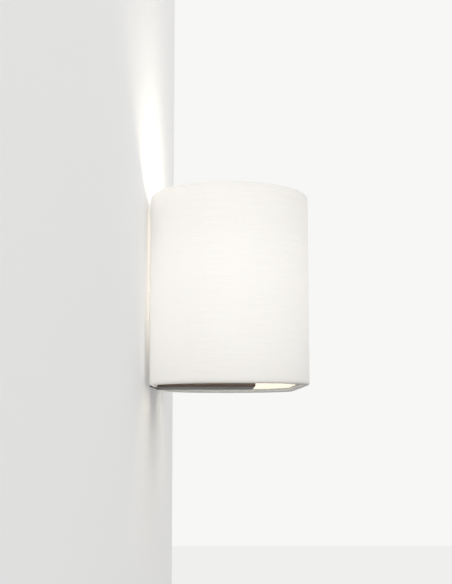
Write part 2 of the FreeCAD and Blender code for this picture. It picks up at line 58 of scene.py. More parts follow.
shade["topZ"] = shade["rimZ"] + shade["height"]
shade["endRadius"] = shade["depth"] / 2
shade["half"] = shade["width"] / 2 - shade["endRadius"]
shade["centreY"] = -(shade["wallGap"] + shade["endRadius"])
shade["round"] = 4 * shade["half"] + 2 * math.pi * shade["endRadius"]

lamps = {
    "left": -0.045, "right": 0.045, "globeZ": 0.0537,
    "power": 0.7, "glowRadius": 0.02, "colour": (1.0, 0.93, 0.80),
}
paper = (247, 247, 246)        # the plain tone that the camera sees behind the light


class Mix:
    # wraps a node's output socket, so that shader maths reads as plain expressions
    def __init__(self, finish, socket):
        self.finish = finish
        self.socket = socket

    def calc(self, operation, other, flip=False):
        inputs = [other, self] if flip else [self, other]
        return self.finish.add("ShaderNodeMath", {"operation": operation}, inputs)

    def __add__(self, other):
        return self.calc("ADD", other)

    def __radd__(self, other):
        return self.calc("ADD", other)

    def __sub__(self, other):
        return self.calc("SUBTRACT", other)

    def __rsub__(self, other):
        return self.calc("SUBTRACT", other, True)

    def __mul__(self, other):
        return self.calc("MULTIPLY", other)

    def __rmul__(self, other):
        return self.calc("MULTIPLY", other)

    def __truediv__(self, other):
        return self.calc("DIVIDE", other)

    def __rtruediv__(self, other):
        return self.calc("DIVIDE", other, True)

    def __pow__(self, other):
        return self.calc("POWER", other)


class Finish:
    # a material, and the ways its nodes are added
    def __init__(self, name):
        self.material = bpy.data.materials.new(name)
        self.material.use_nodes = True
        self.tree = self.material.node_tree
        self.tree.nodes.clear()

    def add(self, kind, settings=None, inputs=None, output=0):
        # settings go on the node itself, inputs are values or links for its sockets
        node = self.tree.nodes.new(kind)
        for key, value in (settings or {}).items():
            if key == "stops":
                while len(node.color_ramp.elements) < len(value):
                    node.color_ramp.elements.new(0.5)
                for element, (place, colour) in zip(node.color_ramp.elements, value):
                    element.position = place
                    element.color = colour
            else:
                setattr(node, key, value)
        pairs = enumerate(inputs) if isinstance(inputs, list) else (inputs or {}).items()
        for key, value in pairs:
            if isinstance(value, Mix):
                self.tree.links.new(value.socket, node.inputs[key])
            else:
                node.inputs[key].default_value = value
        return Mix(self, node.outputs[output])

    def place(self, scale=(1, 1, 1), uv=False):
        coordinates = self.add("ShaderNodeTexCoord", output="UV" if uv else "Object")
        return self.add("ShaderNodeMapping", None, {"Vector": coordinates, "Scale": scale})

    def split(self, vector):
        return [self.add("ShaderNodeSeparateXYZ", None, {"Vector": vector}, axis) for axis in "XYZ"]

    def noise(self, vector, scale, detail=3.0, roughness=0.5):
        inputs = {"Vector": vector, "Scale": scale, "Detail": detail, "Roughness": roughness}
        return self.add("ShaderNodeTexNoise", None, inputs, "Fac")

    def ramp(self, value, stops):
        grey = [(place, (level, level, level, 1)) for place, level in stops]
        return self.add("ShaderNodeValToRGB", {"stops": grey}, {"Fac": value}, "Color")

    def blend(self, factor, first, second):
        node = self.tree.nodes.new("ShaderNodeMix")
        node.data_type = "RGBA"
        for key, value in (("Factor_Float", factor), ("A_Color", first), ("B_Color", second)):
            socket = next(s for s in node.inputs if s.identifier == key)
            if isinstance(value, Mix):
                self.tree.links.new(value.socket, socket)
            else:
                socket.default_value = value
        return Mix(self, next(s for s in node.outputs if s.identifier == "Result_Color"))

    def bump(self, height, distance, strength=1.0):
        return self.add("ShaderNodeBump", None,
                        {"Height": height, "Distance": distance, "Strength": strength})

    def show(self, surface, kind="ShaderNodeOutputMaterial"):
        end = self.tree.nodes.new(kind)
        self.tree.links.new(surface.socket, end.inputs["Surface"])

    def finish(self, inputs):
        self.show(self.add("ShaderNodeBsdfPrincipled", None, inputs))
        return self.material


def rgb(red, green, blue):
    # a colour as a picture shows it, 0 to 255, turned into the renderer's own values by the sRGB curve
    levels = [c / 255 for c in (red, green, blue)]
    linear = [c / 12.92 if c <= 0.04045 else ((c + 0.055) / 1.055) ** 2.4 for c in levels]
    return (*linear, 1.0)


def heightShare(finish):
    # 0 at the shade's bottom rim, 1 at its top
    here = finish.add("ShaderNodeTexCoord", output="Object")
    return (finish.split(here)[2] - shade["rimZ"]) / shade["height"]


def shine(finish, strength, colour):
    # the colour at this strength, for Emission Color
    return finish.blend(strength, (0, 0, 0, 1), rgb(*colour))


glow = {
    "reach": 0.16,             # how far from a lamp its light has fallen to half
    "clothGain": 0.118, "filmFloor": 0.20, "filmGain": 0.12,
    # share of the light by height, from the shade's bottom rim to its top
    "heights": [
        (0.0, 0.06), (0.04, 0.30), (0.09, 0.56), (0.17, 0.76), (0.28, 0.92),
        (0.55, 1.0), (0.70, 0.82), (0.80, 0.52), (0.96, 0.28), (0.995, 0.1),
    ],
}
bounce = {
    "from": -0.075,            # Y where it starts, the wall being at 0
    "gain": 0.32, "fall": 2, "edgeFall": 20.0, "edgeGain": 0.8,
    "heights": [(0.0, 0.58), (0.06, 0.53), (0.22, 0.42), (0.45, 0.37), (1.0, 0.24)],
}
rear = {
    "from": -0.0070, "to": -0.0036,            # Y where it starts and where it is full
    "gain": 0.31, "lampCut": 0.75,
    # from the middle of the light to where the cloth starts to turn
    "across": [(0.0, 0.30), (0.42, 0.42), (0.62, 0.90), (0.82, 1.0), (1.0, 0.15)],
    "heights": [
        (0.0, 0.05), (0.07, 0.15), (0.17, 0.38), (0.32, 0.85), (0.55, 1.0),
        (0.80, 1.0), (0.92, 0.95), (0.965, 0.3), (0.975, 0.0),
    ],
    "bounceCut": [(0.0, 0.80), (0.20, 0.62), (0.45, 0.05), (1.0, 0.0)],
}


def lampGlow(finish):
    # falls off from each lamp as the light inside the shade does
    here = finish.add("ShaderNodeTexCoord", output="Object")
    total = None
    for side in ("left", "right"):
        lamp = (lamps[side], shade["centreY"], lamps["globeZ"])
        away = finish.add("ShaderNodeVectorMath", {"operation": "DISTANCE"}, [here, lamp], "Value")
        light = 1 / (1 + (away / glow["reach"]) ** 2)
        total = light if total is None else total + light
    return total * finish.ramp(heightShare(finish), glow["heights"])


def wallBounce(finish):
    # light that the wall throws back on the cloth, stronger towards the wall
    here = finish.add("ShaderNodeTexCoord", output="Object")
    near = (finish.split(here)[1] - bounce["from"]) / (-shade["wallGap"] - bounce["from"])
    share = finish.add("ShaderNodeMath", {"operation": "MAXIMUM"}, [near, 0.0])
    spread = share ** bounce["fall"] + share ** bounce["edgeFall"] * bounce["edgeGain"]
    return spread * bounce["gain"] * finish.ramp(heightShare(finish), bounce["heights"])


def rearGlow(finish):
    # the flat rear of the cloth, close to the wall and out of the room's light, passes a warmer light;
    # returns what is left there of the lamps' glow and of the bounce, and the warmer light itself
    across, out = finish.split(finish.add("ShaderNodeTexCoord", output="Object"))[:2]
    behind = finish.add("ShaderNodeMapRange", None,
                        {"Value": out, "From Min": rear["from"], "From Max": rear["to"]})
    aside = finish.add("ShaderNodeMath", {"operation": "ABSOLUTE"}, [across]) / shade["half"]
    height = heightShare(finish)
    lampShare = 1 - behind * rear["lampCut"]
    bounceShare = 1 - behind * finish.ramp(height, rear["bounceCut"])
    light = behind * finish.ramp(aside, rear["across"]) * rear["gain"] * finish.ramp(height, rear["heights"])
    return lampShare, bounceShare, light


clothLook = {
    "colour": (245, 243, 239), "shadowed": (241, 238, 234),
    "lit": (255, 254, 251), "litRear": (255, 238, 206),
    "thick": [(0.36, 0.0), (0.66, 1.0)],       # where the weave counts as a thick thread
    "threadLight": (1.08, 0.16),               # light past a thin thread, and what a thick one takes
    # painted shade: the cloth is painted darker towards its top and bottom rims, where it rolls round the
    # wires
    "paintedHemShade": (216, 214, 208), "hemShade": 0.55,
    "paintedHemShadeRamp": [(0.0, 1.0), (0.01, 0.7), (0.025, 0.0), (0.982, 0.0), (0.992, 0.5), (1.0, 1.0)],
    "relief": 0.00016, "roughness": 0.92, "sheen": 0.15, "sheenRoughness": 0.6,
}
clothThreads = [
    # cells to a metre along the cloth and up it, and each thread's share of the weave
    {"along": 22.0, "up": 620.0, "detail": 3.0, "roughness": 0.6, "share": 0.55},      # long slubs
    {"along": 90.0, "up": 1500.0, "detail": 2.0, "roughness": 0.5, "share": 0.30},     # fine level threads
    {"along": 900.0, "up": 40.0, "detail": 1.0, "roughness": 0.5, "share": 0.15},      # upright warp
]


def clothWeave(finish):
    # level threads of uneven thickness, with long slubs, crossed by a fine upright warp
    weave = None
    for thread in clothThreads:
        where = finish.place((thread["along"], thread["up"], 1), uv=True)
        level = finish.noise(where, 1.0, thread["detail"], thread["roughness"]) * thread["share"]
        weave = level if weave is None else weave + level
    return weave


def clothFinish():
    finish = Finish("shadeCloth")
    weave = clothWeave(finish)
    thick = finish.ramp(weave, clothLook["thick"])
    cloth = finish.blend(thick, rgb(*clothLook["colour"]), rgb(*clothLook["shadowed"]))
    # painted shade towards the top and bottom rims
    paintedHemShade = finish.ramp(heightShare(finish), clothLook["paintedHemShadeRamp"])
    base = finish.blend(paintedHemShade * clothLook["hemShade"], cloth, rgb(*clothLook["paintedHemShade"]))
    lampShare, bounceShare, rearLight = rearGlow(finish)
    light = lampGlow(finish) * glow["clothGain"] * lampShare + wallBounce(finish) * bounceShare
    through, taken = clothLook["threadLight"]
    front = shine(finish, light * (through - taken * weave), clothLook["lit"])
    warm = shine(finish, rearLight, clothLook["litRear"])
    return finish.finish({
        "Base Color": base, "Roughness": clothLook["roughness"],
        "Sheen Weight": clothLook["sheen"], "Sheen Roughness": clothLook["sheenRoughness"],
        "Emission Color": finish.add("ShaderNodeVectorMath", {"operation": "ADD"}, [front, warm]),
        "Emission Strength": 1.0, "Normal": finish.bump(weave, clothLook["relief"]),
    })


lipLook = {
    # the lip is the same cloth as the outside wall: its greyer colours are painted shade, deepening away from
    # the rim
    "colour": (204, 205, 206), "shadowed": (186, 187, 189),
    "lit": (255, 253, 247), "lipShadeGrey": (150, 155, 162),
    # both by how far in from the rim, as a share of the hem's height
    "light": [(0.0, 0.10), (0.4, 0.08), (1.0, 0.02)],
    "lipShadeRise": [(0.0, 0.0), (0.45, 0.2), (0.8, 1.0)],
    "roughness": 0.95, "relief": 0.0001,
}


def lipFinish():
    # double cloth over wire passes hardly any light; its greyer colour is painted shade, deepening away from
    # the rim towards the lip's raw edge
    finish = Finish("shadeLip")
    weave = clothWeave(finish)
    base = finish.blend(weave, rgb(*lipLook["colour"]), rgb(*lipLook["shadowed"]))
    middleZ = (shade["rimZ"] + shade["topZ"]) / 2
    up = finish.split(finish.add("ShaderNodeTexCoord", output="Object"))[2]
    fromMiddle = finish.add("ShaderNodeMath", {"operation": "ABSOLUTE"}, [up - middleZ])
    inward = (shade["height"] / 2 - fromMiddle) / shade["hemHeight"]
    return finish.finish({
        "Base Color": finish.blend(finish.ramp(inward, lipLook["lipShadeRise"]), base, rgb(*lipLook["lipShadeGrey"])),
        "Roughness": lipLook["roughness"],
        "Emission Color": shine(finish, finish.ramp(inward, lipLook["light"]), lipLook["lit"]),
        "Emission Strength": 1.0, "Normal": finish.bump(weave, lipLook["relief"]),
    })


filmLook = {
    "colour": (246, 242, 232), "cloudy": (238, 234, 224), "lit": (255, 254, 247),
    "cloudLight": (1.03, 0.06),                # light where it is clear, and what a cloud takes
    "cloudScale": 35.0, "roughness": 0.5, "relief": 0.00008, "reliefShare": 0.6,
}


def filmFinish():
    # smooth film bonded behind the cloth, bright from the lamps
    finish = Finish("shadeFilm")
    cloud = finish.noise(finish.place(), filmLook["cloudScale"])
    clear, taken = filmLook["cloudLight"]
    light = (lampGlow(finish) * glow["filmGain"] + glow["filmFloor"]) * (clear - taken * cloud)
    return finish.finish({
        "Base Color": finish.blend(cloud, rgb(*filmLook["colour"]), rgb(*filmLook["cloudy"])),
        "Roughness": filmLook["roughness"], "Emission Color": shine(finish, light, filmLook["lit"]),
        "Emission Strength": 1.0, "Normal": finish.bump(cloud, filmLook["relief"], filmLook["reliefShare"]),
    })


# in the dictionaries below, a noise is its cells to a metre, its detail and its roughness
plainGrain = {
    "drift": (28.0, 3.0, 0.55),
    "fine": (4.0, 0.6),        # its cells to a metre come with each finish
    "spread": 0.12,            # how far the surface's roughness varies
    "reliefShare": 0.7,
}


def plainFinish(name, first, second, roughness, grain, relief, coat=0.0):
    # a moulded or painted surface: slight colour drift, grain in its gloss and a fine relief
    finish = Finish(name)
    here = finish.place()
    drift = finish.noise(here, *plainGrain["drift"])
    fine = finish.noise(here, grain, *plainGrain["fine"])
    return finish.finish({
        "Base Color": finish.blend(drift, rgb(*first), rgb(*second)), "Coat Weight": coat,
        "Roughness": roughness - plainGrain["spread"] / 2 + fine * plainGrain["spread"],
        "Normal": finish.bump(fine, relief, plainGrain["reliefShare"]),
    })


brushed = {
    "cells": (300, 300, 4200), "lines": (1.0, 2.0, 0.5), "drift": (120.0, 3.0, 0.5),
    "low": 0.06, "spread": 0.14, "relief": 0.00003, "reliefShare": 0.6,
}


def brushedFinish(name, first, second, roughness):
    # plated or drawn metal with fine lines round its length
    finish = Finish(name)
    lines = finish.noise(finish.place(brushed["cells"]), *brushed["lines"])
    drift = finish.noise(finish.place(), *brushed["drift"])
    return finish.finish({
        "Base Color": finish.blend(drift, rgb(*first), rgb(*second)), "Metallic": 1.0,
        "Roughness": roughness - brushed["low"] + lines * brushed["spread"],
        "Normal": finish.bump(lines, brushed["relief"], brushed["reliefShare"]),
    })


bronzeLook = {
    "first": (100, 88, 80), "second": (84, 73, 66), "worn": (118, 102, 88), "bendShadeColour": (58, 49, 44),
    "cloud": (22.0, 4.0, 0.6), "grain": (1900.0, 2.0, 0.6),
    "wear": (75.0, 5.0, 0.7), "wearRise": [(0.62, 0.0), (0.80, 0.35)],
    "roughness": 0.48, "low": 0.08, "spread": 0.16, "metallic": 0.25, "coat": 0.04, "specular": 0.35,
    "relief": 0.00005, "reliefShare": 0.8,
    # painted shade along the bend at the tray's foot: its lower edge, the run of the ramp above it, and the
    # ramp
    "foldShade": 0.75, "foldFrom": -0.0693, "foldRun": 0.002,
    "bendShadeRamp": [(0.0, 0.0), (0.03, 1.0), (0.3, 1.0), (0.45, 0.0)],
}


def bronzeFinish():
    # satin bronze lacquer over steel: mottled tone, a powdery grain and faint wear
    finish = Finish("bracketBronze")
    here = finish.place()
    cloud = finish.noise(here, *bronzeLook["cloud"])
    grain = finish.noise(here, *bronzeLook["grain"])
    worn = finish.ramp(finish.noise(here, *bronzeLook["wear"]), bronzeLook["wearRise"])
    tone = finish.blend(cloud, rgb(*bronzeLook["first"]), rgb(*bronzeLook["second"]))
    colour = finish.blend(worn, tone, rgb(*bronzeLook["worn"]))
    # painted shade: a dark line along the bend at the tray's foot, where the face turns under
    up = finish.split(finish.add("ShaderNodeTexCoord", output="Object"))[2]
    bendShade = finish.ramp((up - bronzeLook["foldFrom"]) / bronzeLook["foldRun"], bronzeLook["bendShadeRamp"])
    return finish.finish({
        "Base Color": finish.blend(bendShade * bronzeLook["foldShade"], colour, rgb(*bronzeLook["bendShadeColour"])),
        "Metallic": bronzeLook["metallic"], "Coat Weight": bronzeLook["coat"],
        "Specular IOR Level": bronzeLook["specular"],
        "Roughness": bronzeLook["roughness"] - bronzeLook["low"] + grain * bronzeLook["spread"],
        "Normal": finish.bump(grain, bronzeLook["relief"], bronzeLook["reliefShare"]),
    })


globeLook = {
    "colour": (252, 250, 243), "cloudy": (246, 243, 234),
    "lit": (255, 246, 226), "litCloudy": (255, 241, 214),
    "cloud": (60.0, 2.0, 0.5), "roughness": 0.35, "strength": 1.3,
}


def globeFinish():
    # opal plastic, lit from inside
    finish = Finish("lampGlobe")
    cloud = finish.noise(finish.place(), *globeLook["cloud"])
    return finish.finish({
        "Base Color": finish.blend(cloud, rgb(*globeLook["colour"]), rgb(*globeLook["cloudy"])),
        "Emission Color": finish.blend(cloud, rgb(*globeLook["lit"]), rgb(*globeLook["litCloudy"])),
        "Emission Strength": globeLook["strength"], "Roughness": globeLook["roughness"],
    })


print("materials")
# the looks of the nodes kept as the frame has them, by their material slot
looks = {
    "shade_lining": filmFinish(),
    "frame_wire": plainFinish("frameWire", (232, 229, 220), (222, 218, 208), 0.42, 900.0, 0.00006),
    "bracket_bronze": bronzeFinish(),
    "screw_steel": brushedFinish("screwSteel", (186, 188, 190), (162, 164, 168), 0.34),
    "grommet_rubber": plainFinish("grommetRubber", (40, 40, 43), (30, 30, 33), 0.75, 1400.0, 0.00008),
    "terminal_plastic": plainFinish("terminalNylon", (238, 235, 226), (226, 222, 212), 0.48, 700.0, 0.00004),
    "brass": brushedFinish("brassParts", (201, 166, 98), (176, 140, 78), 0.3),
    "wire_brown": plainFinish("wireBrown", (112, 70, 44), (96, 58, 36), 0.5, 800.0, 0.00003),
    "wire_blue": plainFinish("wireBlue", (48, 96, 166), (38, 80, 144), 0.5, 800.0, 0.00003),
    "wire_green": plainFinish("wireGreen", (104, 164, 62), (196, 190, 60), 0.5, 800.0, 0.00003),
    "holder_plastic": plainFinish("holderWhite", (242, 240, 234), (234, 231, 224), 0.3, 1100.0, 0.00003, 0.1),
    "holder_insulator": plainFinish("holderDisc", (236, 231, 220), (222, 216, 204), 0.35, 600.0, 0.00004),
    "contact_metal": brushedFinish("contactBrass", (198, 168, 112), (170, 140, 88), 0.32),
    "lamp_cap_metal": brushedFinish("lampCap", (200, 201, 204), (176, 178, 182), 0.26),
    "lamp_black_glass": plainFinish("lampInsulator", (30, 28, 32), (20, 19, 22), 0.18, 500.0, 0.00002),
    "lamp_housing_plastic": plainFinish(
        "lampHousing", (246, 245, 240), (240, 238, 232), 0.36, 900.0, 0.00003),
    "lamp_globe_opal": globeFinish(),
    "lamp_board_white": plainFinish("lampBoard", (228, 229, 230), (214, 215, 217), 0.4, 700.0, 0.00003),
}
for part in frame["record"]["subparts"]:
    node = frame["nodes"][part["node"]]
    if part["material_slot"] in looks:
        node.data.materials.clear()
        node.data.materials.append(looks[part["material_slot"]])


def newPiece(name, bm, material, body, smooth=True):
    mesh = bpy.data.meshes.new(name)
    bm.to_mesh(mesh)
    bm.free()
    for patch in mesh.polygons:
        patch.use_smooth = smooth
    piece = bpy.data.objects.new(name, mesh)
    bpy.context.scene.collection.objects.link(piece)
    mesh.materials.append(material)
    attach(piece, body)
    return piece


def addModifier(piece, kind, **settings):
    modifier = piece.modifiers.new(kind.title(), kind)
    for key, value in settings.items():
        setattr(modifier, key, value)


def sharpen(piece, degrees):
    # smooth shading that breaks at real edges
    bm = bmesh.new()
    bm.from_mesh(piece.data)
    for edge in bm.edges:
        if len(edge.link_faces) == 2:
            edge.smooth = edge.calc_face_angle(0) < math.radians(degrees)
    bm.to_mesh(piece.data)
    bm.free()


def arcOfVerts(bm, first, centre, axis, angle, steps):
    # draws an arc of edges from a vertex, and returns the vertex at its end
    made = bmesh.ops.spin(bm, geom=[first], cent=centre, axis=axis, angle=angle, steps=steps,
                          use_duplicate=False)
    return [item for item in made["geom_last"] if isinstance(item, bmesh.types.BMVert)][0]


def runFrom(bm, vert, move):
    # draws a straight edge from a vertex, and returns the vertex at its end
    made = bmesh.ops.extrude_vert_indiv(bm, verts=[vert])
    bmesh.ops.translate(bm, verts=made["verts"], vec=move)
    return made["verts"][0]


def drawOut(bm, edges, move=(0, 0, 0)):
    # draws a strip of cloth out from the edges, and returns its new vertices and edges
    made = bmesh.ops.extrude_edge_only(bm, edges=edges)
    verts = [g for g in made["geom"] if isinstance(g, bmesh.types.BMVert)]
    bmesh.ops.translate(bm, verts=verts, vec=move)
    return verts, [g for g in made["geom"] if isinstance(g, bmesh.types.BMEdge)]


def turnSheet(bm, faces, way):
    # turns a whole sheet over if these faces of it look the wrong way: 1 is to the wall, -1 to the room
    bmesh.ops.recalc_face_normals(bm, faces=bm.faces[:])
    if sum(f.normal.y for f in faces) * way < 0:
        bmesh.ops.reverse_faces(bm, faces=bm.faces[:])


def sweepRoundShade(bm, steps):
    # carries every edge in bm, drawn at the left end of the front wall, once round the oval plan
    half = shade["half"]
    edges = bm.edges[:]
    for side in (1, -1):
        verts, edges = drawOut(bm, edges, (side * 2 * half, 0, 0))
        made = bmesh.ops.spin(bm, geom=edges, cent=(side * half, shade["centreY"], 0), axis=(0, 0, 1),
                              angle=math.pi, steps=steps, use_duplicate=False)
        edges = [g for g in made["geom_last"] if isinstance(g, bmesh.types.BMEdge)]
    bmesh.ops.remove_doubles(bm, verts=bm.verts[:], dist=shade["joinWithin"])
    bmesh.ops.recalc_face_normals(bm, faces=bm.faces[:])


def distanceRound(x, y):
    # how far round the oval plan a point lies, starting at the left end of the front wall
    half = shade["half"]
    radius = shade["endRadius"]
    middle = shade["centreY"]
    if abs(x) <= half:
        return x + half if y < middle else 2 * half + math.pi * radius + half - x
    if x > half:
        return 2 * half + radius * (math.atan2(y - middle, x - half) + math.pi / 2)
    turn = math.atan2(y - middle, x + half)
    turn = turn if turn > 0 else turn + 2 * math.pi
    return 4 * half + math.pi * radius + radius * (turn - math.pi / 2)


def writeClothMap(piece):
    # one metre of map for one metre of cloth, level thread along it
    mesh = piece.data
    layer = mesh.uv_layers.new(name="clothMap")
    once = shade["round"]
    for patch in mesh.polygons:
        around = [distanceRound(*mesh.vertices[v].co.xy) for v in patch.vertices]
        if max(around) - min(around) > once / 2:
            around = [a + once if a < once / 2 else a for a in around]
        for loop, distance in zip(patch.loop_indices, around):
            z = mesh.vertices[mesh.loops[loop].vertex_index].co.z
            layer.data[loop].uv = (distance, z)


def offPlan(x, y):
    # distance from the straight line that joins the centres of the two round ends
    past = max(abs(x) - shade["half"], 0)
    return math.hypot(past, y - shade["centreY"])


print("shade cloth")
notch = {
    "half": 0.0645, "top": 0.0577,
    "reach": -0.012,           # the cut goes through all cloth behind this Y
    "turnedIn": 0.01,          # cloth that the cut takes away below the rim, in the roll and the lip
}
cutWithin = 1e-7


def cutNotch(bm, half, top):
    # opens the back wall over the tray and the wall plate
    def back():
        return [f for f in bm.faces if f.calc_center_median().y > notch["reach"]]

    for place, normal in (((-half, 0, 0), (1, 0, 0)), ((half, 0, 0), (1, 0, 0)), ((0, 0, top), (0, 0, 1))):
        faces = back()
        parts = faces + list({e for f in faces for e in f.edges}) + list({v for f in faces for v in f.verts})
        bmesh.ops.bisect_plane(bm, geom=parts, dist=cutWithin, plane_co=place, plane_no=normal)
    middles = [(f, f.calc_center_median()) for f in back()]
    gone = [f for f, middle in middles if abs(middle.x) < half and middle.z < top]
    bmesh.ops.delete(bm, geom=gone, context="FACES")


def makeCloth():
    # outside wall, a roll round each wire and a short lip inside, as one sheet
    bm = bmesh.new()
    start = -shade["half"]
    front = shade["centreY"] - shade["endRadius"]
    roll = shade["rollRadius"]
    lip = shade["hemHeight"] - roll
    lowest = bm.verts.new((start, front, shade["rimZ"] + roll))
    highest = runFrom(bm, lowest, (0, 0, shade["height"] - 2 * roll))
    for first, way in ((lowest, 1), (highest, -1)):
        centre = (start, front + roll, first.co.z)
        last = arcOfVerts(bm, first, centre, (1, 0, 0), way * math.pi, shade["rollSteps"])
        runFrom(bm, last, (0, 0, way * lip))
    sweepRoundShade(bm, shade["endSteps"])
    cutNotch(bm, notch["half"], notch["top"])
    turnSheet(bm, [f for f in bm.faces if f.calc_center_median().y < front + shade["clothThick"]], -1)
    piece = newPiece("shadeCloth", bm, clothFinish(), "fixture")
    writeClothMap(piece)
    piece.data.materials.append(lipFinish())
    for patch in piece.data.polygons:
        if offPlan(*patch.center.xy) < shade["endRadius"] - shade["lipFrom"] * roll:
            patch.material_index = 1
    addModifier(piece, "SOLIDIFY", thickness=shade["clothThick"], offset=-1.0, use_even_offset=True)
    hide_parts("shade_fabric")
    return piece


cloth = makeCloth()

print("tape and back seam")
tape = {"wide": 0.008, "thick": 0.0004, "off": 0.00005, "foot": 0.004}
tapeFinish = plainFinish("shadeTape", (240, 238, 232), (230, 227, 220), 0.9, 1500.0, 0.00012)


def makeNotchTape():
    # thin woven tape that hides the raw edges of the cut-out, outside and flat on the cloth
    bm = bmesh.new()
    half = notch["half"]
    wide = tape["wide"]
    outside = tape["off"] - shade["wallGap"]
    foot = shade["rimZ"] + tape["foot"]
    ends = [bm.verts.new((x, outside, foot)) for x in (-half - wide, -half)]
    verts, edges = drawOut(bm, [bm.edges.new(ends)], (0, 0, notch["top"] - foot))
    min(verts, key=lambda v: v.co.x).co.z += wide
    verts, edges = drawOut(bm, edges)
    for vert, x in zip(sorted(verts, key=lambda v: v.co.z), (half, half + wide)):
        vert.co.x = x
    verts, edges = drawOut(bm, edges)
    for vert in verts:
        vert.co.z = foot
    turnSheet(bm, bm.faces[:], 1)
    piece = newPiece("shadeNotchTape", bm, tapeFinish, "fixture", smooth=False)
    writeClothMap(piece)
    addModifier(piece, "SOLIDIFY", thickness=tape["thick"], offset=1.0)


makeNotchTape()
seam = {"from": -0.006, "wide": 0.012, "thick": 0.0005, "off": 0.00005, "rows": 24, "edge": 0.00018}


def makeBackSeam():
    # where the cloth's two ends lap over each other, at the middle of the back above the cut-out
    bm = bmesh.new()
    bmesh.ops.create_grid(bm, x_segments=2, y_segments=seam["rows"], size=0.5)
    foot = notch["top"] + tape["wide"]
    tall = shade["topZ"] - shade["rollRadius"] - foot
    for vert in bm.verts:
        across, up = vert.co.x + 0.5, vert.co.y + 0.5
        vert.co = (seam["from"] + across * seam["wide"], seam["off"] - shade["wallGap"], foot + up * tall)
    turnSheet(bm, bm.faces[:], 1)
    piece = newPiece("shadeBackSeam", bm, cloth.data.materials[0], "fixture", smooth=False)
    writeClothMap(piece)
    addModifier(piece, "SOLIDIFY", thickness=seam["thick"], offset=1.0)
    addModifier(piece, "BEVEL", width=seam["edge"], segments=2, limit_method="ANGLE")


makeBackSeam()

print("holder and lamp threads")
skirt = {
    "foot": -0.0173, "shoulder": 0.0225, "shoulderTop": -0.0143, "top": 0.0167,
    "crest": 0.0196, "root": 0.0189, "bore": 0.0176, "bevel": 0.0006,
    "pitch": 0.0025, "threadFrom": -0.0138, "turns": 11.5,
}
cap = {
    "foot": -0.0163, "top": 0.0037, "crest": 0.0131, "root": 0.01265, "bore": 0.0124,
    "lipBore": 0.01155, "lipThick": 0.0008, "bevel": 0.001, "brim": 0.0009,
    "pitch": 0.0036, "threadFrom": -0.0146, "turns": 4.0,
}
lathe = {
    "steps": 48, "threadSteps": 36, "sharp": 32, "joinWithin": 1e-7,
    "bite": 0.0001,            # how far the ridge's foot is sunk in the wall
    "ridge": (0.38, 0.6, 0.96),        # where its crest starts and ends, and its foot ends, in pitches
}


def chain(bm, x, points):
    # a closed outline of (radius, height) points, in the upright plane through x
    verts = [bm.verts.new((x + radius, shade["centreY"], height)) for radius, height in points]
    return [bm.edges.new(pair) for pair in zip(verts, verts[1:] + verts[:1])]


def turnRound(bm, x, points):
    bmesh.ops.spin(bm, geom=chain(bm, x, points), cent=(x, shade["centreY"], 0), axis=(0, 0, 1),
                   angle=2 * math.pi, steps=lathe["steps"], use_merge=True, use_duplicate=False)


def windThread(bm, x, look):
    # one ridge wound up the wall, its foot just inside the wall and both ends closed
    pitch = look["pitch"]
    inside = look["root"] - lathe["bite"]
    low = look["threadFrom"]
    crestLow, crestHigh, footHigh = [low + share * pitch for share in lathe["ridge"]]
    points = [(inside, low), (look["crest"], crestLow), (look["crest"], crestHigh), (inside, footHigh)]
    steps = int(lathe["threadSteps"] * look["turns"])
    edges = chain(bm, x, points)
    bmesh.ops.contextual_create(bm, geom=edges)
    made = bmesh.ops.spin(bm, geom=edges, cent=(x, shade["centreY"], 0), axis=(0, 0, 1),
                          dvec=(0, 0, pitch * look["turns"] / steps), angle=2 * math.pi * look["turns"],
                          steps=steps, use_duplicate=False)
    bmesh.ops.contextual_create(bm, geom=[g for g in made["geom_last"] if isinstance(g, bmesh.types.BMEdge)])


def makeThreaded(name, x, points, look, node, body, slotName):
    bm = bmesh.new()
    turnRound(bm, x, points)
    windThread(bm, x, look)
    bmesh.ops.remove_doubles(bm, verts=bm.verts[:], dist=lathe["joinWithin"])
    bmesh.ops.recalc_face_normals(bm, faces=bm.faces[:])
    piece = newPiece(name, bm, looks[slotName], body)
    sharpen(piece, lathe["sharp"])
    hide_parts(node)


def skirtOutline():
    # (radius, height): a shoulder at the foot, and a bevelled top edge
    return [
        (skirt["bore"], skirt["foot"]), (skirt["shoulder"], skirt["foot"]),
        (skirt["shoulder"], skirt["shoulderTop"]), (skirt["root"], skirt["shoulderTop"]),
        (skirt["root"], skirt["top"] - skirt["bevel"]), (skirt["root"] - skirt["bevel"], skirt["top"]),
        (skirt["bore"], skirt["top"]),
    ]


def capOutline():
    # (radius, height): a lip turned in at the foot, and a narrow brim at the top
    brimZ = cap["top"] - cap["brim"]
    lipTop = cap["foot"] + cap["lipThick"]
    return [
        (cap["lipBore"], cap["foot"]), (cap["root"] - cap["bevel"], cap["foot"]),
        (cap["root"], cap["foot"] + cap["bevel"]), (cap["root"], brimZ), (cap["crest"], brimZ),
        (cap["crest"], cap["top"]), (cap["bore"], cap["top"]),
        (cap["bore"], lipTop), (cap["lipBore"], lipTop),
    ]


for side in ("left", "right"):
    makeThreaded("holderSkirt_" + side, lamps[side], skirtOutline(), skirt, "holder_skirt_" + side,
                 "fixture", "holder_plastic")
    makeThreaded("lampCap_" + side, lamps[side], capOutline(), cap, "lamp_cap_" + side,
                 "lamp_" + side, "lamp_cap_metal")

print("floor, wall, lights and camera")
room = {
    "wallEnds": (-3.0, 0.42), "tallest": 1.6, "wallY": 0.0005, "wall": (243, 243, 243), "wallLift": 0.24,
    "opening": (0.053, -0.062, 0.048),         # half its width, its foot and its top
    "floorZ": -0.75, "floorHalf": 4, "floor": (142, 142, 141), "floorLift": 0.9,
    "cloud": (3.0, 2.0, 0.5), "cloudShade": 0.985, "roughness": 0.95,
}


